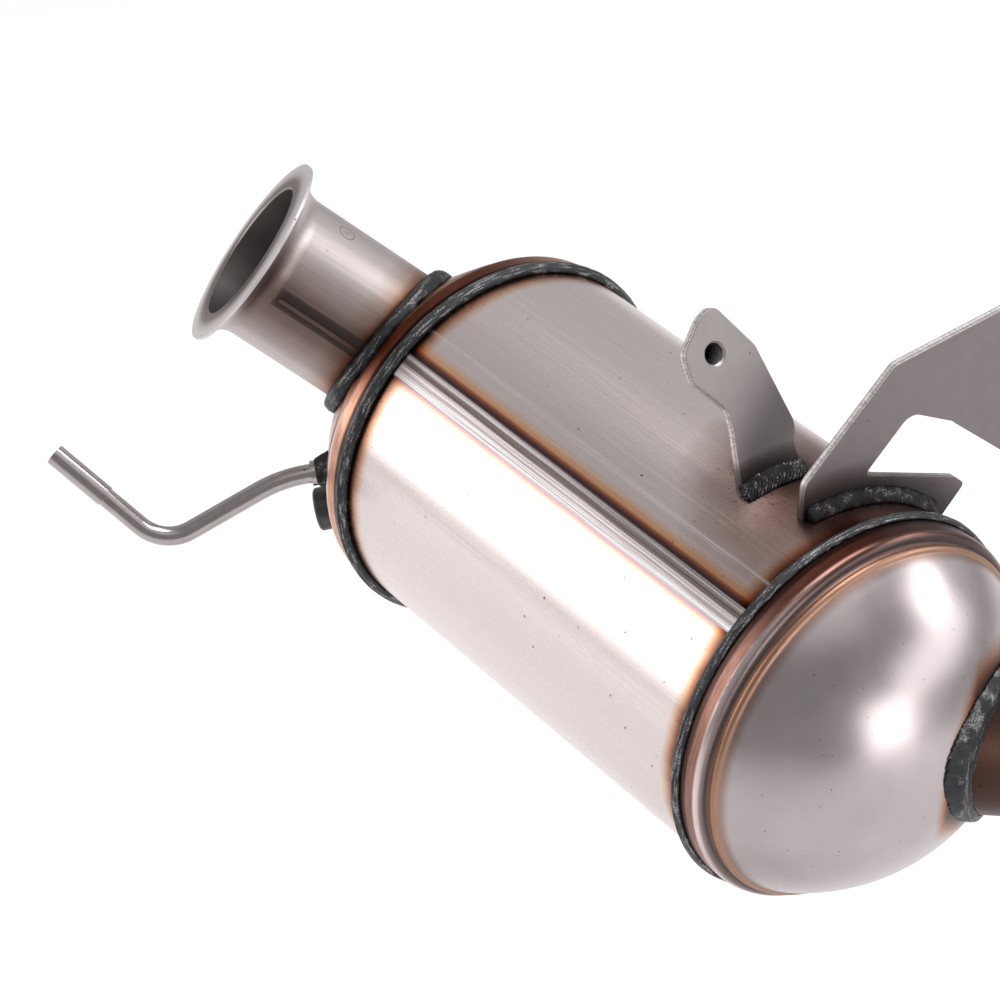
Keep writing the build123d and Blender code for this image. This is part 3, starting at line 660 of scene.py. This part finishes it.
# Weld beads with their ripples
def evenly_meshed(node, voxel):
    """Copy of a node's solid, meshed again in even faces about a voxel wide, in millimetres."""
    form = bmesh.new()
    form.from_mesh(nodes[node].data)
    bmesh.ops.remove_doubles(form, verts=form.verts, dist=0.02 * MM)
    bmesh.ops.recalc_face_normals(form, faces=form.faces)
    rough = bpy.data.meshes.new(node + "_rough")
    form.to_mesh(rough)
    form.free()
    bead = bpy.data.objects.new(node + "_bead", rough)
    bpy.context.scene.collection.objects.link(bead)
    remesh = bead.modifiers.new("even_mesh", "REMESH")
    remesh.mode = "VOXEL"
    remesh.voxel_size = voxel * MM
    remesh.use_smooth_shade = True
    depsgraph = bpy.context.evaluated_depsgraph_get()
    even = bpy.data.meshes.new_from_object(bead.evaluated_get(depsgraph))
    even.name = node + "_bead"
    bead.modifiers.clear()
    bead.data = even
    bpy.data.meshes.remove(rough)
    return bead


def round_line(place, line, start):
    """Angle round a line from the way start, and distance from it."""
    point, way = line
    offset = place - point
    sideways = offset - way * offset.dot(way)
    return atan2(sideways.dot(way.cross(start)), sideways.dot(start)), sideways.length


def rippled_bead(node, line, material, voxel, growth, pitch, ripple, lumps, valley, passes, toe, narrowing):
    """Copy of a weld's solid with crescent ripples, lumps and lengthwise valleys, which stands for the node.

    The bead runs round the line and stands proud by its growth. Passes soften it, and it is narrowed
    towards its toe, a place along the canister. Its ripples bow back towards its edges, as crescents.
    """
    bow = 0.12
    broad_lump = 5.0
    fine_lump = 1.4
    valley_spacing = 2.9
    bead = evenly_meshed(node, voxel)
    form = bmesh.new()
    form.from_mesh(bead.data)
    start = line[1].orthogonal().normalized()
    middle = sum((in_millimetres(vertex.co) for vertex in form.verts), Vector()) / len(form.verts)
    for _ in range(passes):
        bmesh.ops.smooth_vert(form, verts=form.verts, factor=0.5,
                              use_axis_x=True, use_axis_y=True, use_axis_z=True)
    form.normal_update()
    fixed = in_metres((toe, 0, 0)).x
    for vertex in form.verts:
        place = in_millimetres(vertex.co)
        angle, out = round_line(place, line, start)
        across = place.x - middle.x if line == canister_line else out - pipe_radius
        along = angle * out - bow * across * across
        rise = growth + ripple * sin(2 * pi * along / pitch)
        rise += lumps * noise.noise(place / broad_lump) + 0.5 * lumps * noise.noise(place / fine_lump)
        rise += valley * cos(2 * pi * across / valley_spacing)
        vertex.co += vertex.normal * rise * MM
        vertex.co.x = fixed + (vertex.co.x - fixed) * narrowing
    form.to_mesh(bead.data)
    form.free()
    bead.data.polygons.foreach_set("use_smooth", [True] * len(bead.data.polygons))
    bead.data.materials.clear()
    bead.data.materials.append(material)
    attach(bead, "root")
    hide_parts(node)


# Pieces that the CAD frame leaves to this script
def add_piece(name, form, material, smooth):
    """Makes a piece of a finished form, fixed to the object's one body."""
    mesh = bpy.data.meshes.new(name)
    form.to_mesh(mesh)
    form.free()
    mesh.polygons.foreach_set("use_smooth", [smooth] * len(mesh.polygons))
    mesh.materials.append(material)
    piece = bpy.data.objects.new(name, mesh)
    bpy.context.scene.collection.objects.link(piece)
    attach(piece, "root")


def turning_profile(form, corners):
    """A profile to spin round the Z axis, its corners each a distance out and a level in millimetres."""
    profile = [form.verts.new((out, 0, level)) for out, level in corners]
    return profile + [form.edges.new(pair) for pair in zip(profile, profile[1:])]


def seat_on_mount(form, mount):
    """Merges a spun form's seams and puts it on a mount, its Z axis along the mount's axis."""
    bmesh.ops.remove_doubles(form, verts=form.verts, dist=0.001)
    bmesh.ops.recalc_face_normals(form, faces=form.faces)
    turn = Vector(mounts[mount]["axis"]).to_track_quat("Z", "Y").to_matrix().to_4x4()
    seat = Matrix.Translation(mounts[mount]["pos_m"]) @ turn @ Matrix.Scale(MM, 4)
    bmesh.ops.transform(form, matrix=seat, verts=form.verts)


def helical_thread(name, mount, depth, height, shift, material):
    """Thread turns that stand in from a tapped hole's wall, shifted along the hole's axis."""
    radius = mounts[mount]["dims"]["r_mm"]
    steps_per_turn = 40
    turns = depth / thread_pitch - 1
    half_foot = 0.36 * thread_pitch
    form = bmesh.new()
    profile = turning_profile(form, [
        (radius + 0.05, -half_foot), (radius - height, 0.0), (radius + 0.05, half_foot)])
    bmesh.ops.spin(form, geom=profile, cent=(0, 0, 0), axis=(0, 0, 1), angle=2 * pi * turns,
                   steps=round(steps_per_turn * turns), dvec=(0, 0, thread_pitch / steps_per_turn))
    bmesh.ops.translate(form, verts=form.verts, vec=(0, 0, shift - turns * thread_pitch / 2))
    seat_on_mount(form, mount)
    add_piece(name, form, material, True)


def blind_nut(name, mount, depth, radius, bore, material):
    """Closed round nut welded behind the tab's tapped hole, with a chamfer at its far end."""
    wall = 1.0
    chamfer = 0.6
    form = bmesh.new()
    profile = turning_profile(form, [
        (0, wall - depth), (bore, wall - depth), (bore, 0), (radius, 0), (radius, chamfer - depth),
        (radius - chamfer, -depth), (0, -depth)])
    bmesh.ops.spin(form, geom=profile, cent=(0, 0, 0), axis=(0, 0, 1), angle=2 * pi, steps=48, use_merge=True)
    bmesh.ops.translate(form, verts=form.verts, vec=(0, 0, -tab_thickness / 2))
    seat_on_mount(form, mount)
    add_piece(name, form, material, False)


def spatter(name, material):
    """Drops of weld metal that stuck to the canister beside the rim welds and the tab's foot."""
    drops_per_rim = 90
    drops_at_tab = 110
    form = bmesh.new()

    def drop(along, turn, size):
        out = Vector((0, cos(radians(turn)), sin(radians(turn))))
        place = Matrix.Translation(in_metres(Vector((along, 0, 0)) + out * canister_radius))
        upright = out.to_track_quat("Z", "Y").to_matrix().to_4x4()
        flat = Matrix.Diagonal((1, 1, 0.6, 1))
        bmesh.ops.create_icosphere(form, subdivisions=1, radius=size * MM, matrix=place @ upright @ flat)

    for toe, side in ((inlet_weld_toe, 1), (outlet_weld_toe, -1)):
        for _ in range(drops_per_rim):
            drop(toe + side * random.expovariate(0.35), random.uniform(0, 360), random.uniform(0.12, 0.3))
    for _ in range(drops_at_tab):
        drop(tab_front + random.gauss(7, 9), 90 + random.gauss(4, 11), random.uniform(0.12, 0.32))
    add_piece(name, form, material, True)


make_camera()
make_studio()

rim_beads = weld_metal("oxidised_rim_weld", "333436", "4C4D4F", "C4C1C1",
                       lambda tree, place: add(tree, "ShaderNodeSeparateXYZ", {0: place}))
inlet_neck_beads = weld_metal("oxidised_inlet_neck_weld", "2C2D2F", "434446", "A09E9E",
                              lambda tree, place: from_line(tree, place, inlet_pipe_line))
outlet_neck_beads = weld_metal("oxidised_outlet_neck_weld", "2C2D2F", "434446", "A09E9E",
                               lambda tree, place: from_line(tree, place, outlet_pipe_line))
foot_beads = weld_metal("oxidised_foot_weld", "1E1D1D", "343232", "A8A4A4")

dress("canister_shell", rolled_stainless())
dress("canister_seam_weld", planished_seam())
# The inlet skirt's colour is its copper heat tint, brightened further as a painted highlight for the front
# soft box's light
dress("inlet_cap", pressed_stainless(
    "pressed_stainless_inlet_cap", -1, inlet_cap_edge, inlet_pipe_line, 4.4, "FFD2B4", 0.28,
    Vector((inlet_weld_outer, -20, canister_radius)), 22.0))
dress("outlet_dome", pressed_stainless(
    "pressed_stainless_outlet_dome", 1, outlet_cap_edge, outlet_pipe_line, 2.8, "B89484", 0.35,
    Vector((outlet_weld_outer, 22, canister_radius)), 34.0))
inlet_tube = drawn_tube_stainless(
    "drawn_stainless_inlet_pipe", inlet_pipe_line, inlet_pipe_length, inlet_dome_middle, pipe_tint, 15.0,
    "A9A09F", "CAC2C1", inlet_groove)
for node in ("inlet_pipe", "inlet_pipe_seam_weld"):
    dress(node, inlet_tube)
# The outlet pipe's stainless is darker than the inlet pipe's: painted shade that dims the low soft box's
# reflection in it
dress("outlet_pipe", drawn_tube_stainless(
    "drawn_stainless_outlet_pipe", outlet_pipe_line, outlet_pipe_length, outlet_dome_middle, smoke_tint, 60.0,
    "7C716D", "978C88"))
polished = polished_tube()
for node in ("pressure_tube", "pressure_tube_sleeve", "pressure_tube_collar"):
    dress(node, polished)
blackened = blackened_steel()
dress("sensor_boss", blackened)
dress("tab_bracket", blanked_plate(
    "blanked_stainless_tab", line_of("tab_hole"), tab_thickness, 6.0, "8D8585", "9A9292"))
dress("mounting_bracket", blanked_plate(
    "blanked_stainless_bracket", bracket_line, bracket_front - bracket_back, 14.0, "766E6E", "847C7C"))
dress("filter_monolith", brick_ceramic())
dress("mounting_mat", mat_fibre())
wire = knitted_wire()
for node in ("inlet_mat_ring", "outlet_mat_ring"):
    dress(node, wire)

# Each bead: its node, the line it runs round and its finish; then in millimetres how fine its mesh is, how
# proud it stands, its ripples' pitch and height, and the height of its lumps and of its valleys; then how
# often it is softened, the toe that it is narrowed towards, and the share of its width that is left
weld_beads = [
    ("inlet_rim_weld", canister_line, rim_beads, 0.6, 0.1, 1.7, 0.02, 0.12, 0.16, 14, inlet_weld_toe, 0.72),
    ("outlet_rim_weld", canister_line, rim_beads, 0.6, 0.1, 1.7, 0.02, 0.12, 0.16, 14, outlet_weld_toe, 0.72),
    ("inlet_pipe_weld", inlet_pipe_line, inlet_neck_beads, 0.5, 0.9, 1.6, 0.02, 0.25, 0.14, 5, 0.0, 1.0),
    ("outlet_pipe_weld", outlet_pipe_line, outlet_neck_beads, 0.5, 0.1, 1.6, 0.02, 0.2, 0.14, 5, 0.0, 1.0),
    ("tab_bracket_weld", canister_line, foot_beads, 0.35, 0.1, 1.7, 0.26, 0.3, 0.0, 5, 0.0, 1.0),
    ("mounting_bracket_weld", canister_line, foot_beads, 0.4, 0.1, 1.6, 0.10, 0.25, 0.0, 5, 0.0, 1.0),
    ("pressure_tube_weld", canister_line, foot_beads, 0.3, 0.1, 1.2, 0.05, 0.3, 0.0, 5, 0.0, 1.0),
    ("sensor_boss_weld", canister_line, foot_beads, 0.3, 0.1, 1.2, 0.05, 0.2, 0.0, 5, 0.0, 1.0),
]
for row in weld_beads:
    rippled_bead(*row)
blind_nut("tab_blind_nut", "tab_hole", 8.5, 6.5, 4.3, blackened)
thread_steel = cut_thread(line_of("tab_hole"))
helical_thread("tab_hole_thread", "tab_hole", 10.5, 0.6, -3.6, thread_steel)
helical_thread("sensor_boss_thread", "sensor_port", 8.0, 0.5, 0.0, blackened)
spatter("weld_spatter", foot_beads)
